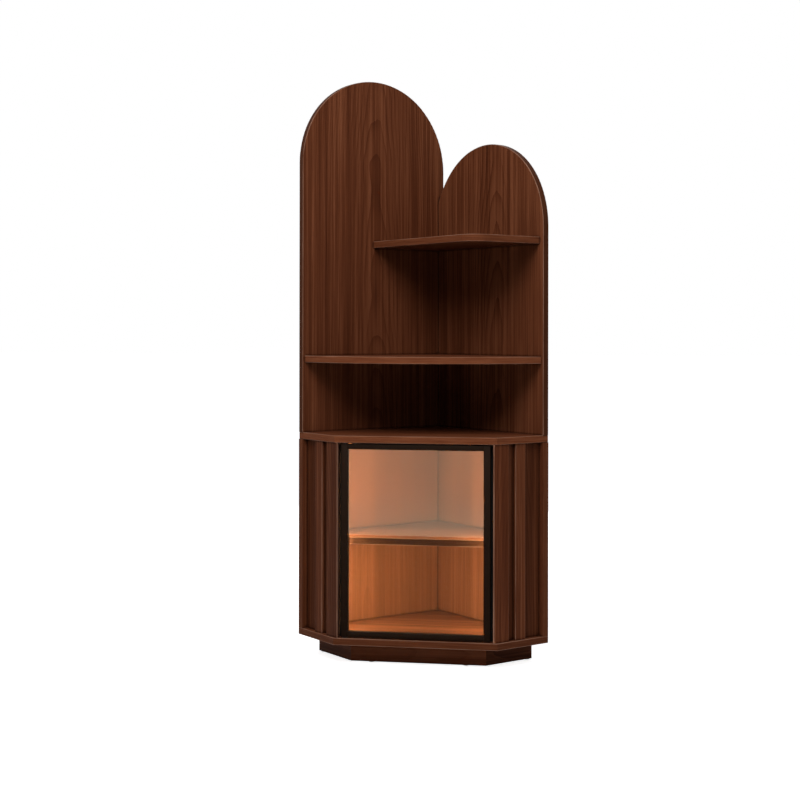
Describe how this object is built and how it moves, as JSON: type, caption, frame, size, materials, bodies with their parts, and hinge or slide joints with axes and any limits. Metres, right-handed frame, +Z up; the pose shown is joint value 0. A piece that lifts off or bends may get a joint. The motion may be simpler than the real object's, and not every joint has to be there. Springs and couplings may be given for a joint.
{
  "type": "corner cabinet",
  "caption": "Tall corner cabinet with a lit, glazed cupboard in a fluted base, arched panels on both walls and open corner shelves.",
  "frame": {"origin": "middle of the cabinet's bounding box in plan, at floor level", "axes": "+Z up, the door faces -Y, the corner of the walls points to +Y, the tall panel stands on the -X side"},
  "size_m": [0.5798, 0.4147, 1.3509],
  "materials": {
    "walnut_veneer": "satin",
    "plinth_veneer": "satin",
    "plain_beech": "matte",
    "white_nylon": "matte",
    "black_plastic": "matte",
    "light_channel": "satin",
    "light_strip": "matte",
    "light_diffuser": "matte",
    "zinc_steel": "satin",
    "black_steel": "satin",
    "black_frame": "satin",
    "clear_glass": "polished",
    "black_rubber": "matte"
  },
  "bodies": {
    "cabinet": {"plinth_front": "plinth_veneer", "plinth_left": "plinth_veneer", "plinth_right": "plinth_veneer", "plinth_rear_left": "plinth_veneer", "plinth_rear_right": "plinth_veneer", "plinth_blocks": "plain_beech", "glides": "white_nylon", "bottom_board": "walnut_veneer", "top_board": "walnut_veneer", "lower_back_left": "walnut_veneer", "lower_back_right": "walnut_veneer", "side_panel_left": "walnut_veneer", "side_panel_right": "walnut_veneer", "side_rib_left": "walnut_veneer", "side_rib_right": "walnut_veneer", "corner_post_left": "walnut_veneer", "corner_post_right": "walnut_veneer", "upper_back_left": "walnut_veneer", "upper_back_right": "walnut_veneer", "mid_shelf": "walnut_veneer", "upper_shelf": "walnut_veneer", "inner_shelf": "walnut_veneer", "shelf_pins": "zinc_steel", "light_channel_left": "light_channel", "light_channel_right": "light_channel", "light_strip_left": "light_strip", "light_strip_right": "light_strip", "light_diffuser_left": "light_diffuser", "light_diffuser_right": "light_diffuser", "cable_grommet": "black_plastic", "stop_strip_left": "black_rubber", "stop_strip_right": "black_rubber", "stop_strip_top": "black_rubber", "hinge_bush_bottom": "black_plastic", "hinge_bush_top": "black_plastic", "catch_housing": "black_plastic", "catch_magnet": "zinc_steel", "catch_screws": "zinc_steel", "panel_screws": "zinc_steel", "plinth_screws": "zinc_steel", "dowels": "plain_beech", "cam_locks": "zinc_steel", "cam_bolts": "zinc_steel"},
    "door": {"door_stile_hinge": "black_frame", "door_stile_pull": "black_frame", "door_rail_top": "black_frame", "door_rail_bottom": "black_frame", "door_glass": "clear_glass", "glass_gasket": "black_rubber", "door_corner_plates": "zinc_steel", "hinge_pivot_bottom": "black_steel", "hinge_pivot_top": "black_steel", "strike_plate": "zinc_steel", "door_screws": "zinc_steel"}
  },
  "joints": [
    {"name": "door_hinge", "type": "hinge", "parent": "cabinet", "child": "door", "pos_m": [-0.16039, -0.17518, 0.2825], "axis": [0, 0, -1], "range_deg": [0, 105]}
  ]
}
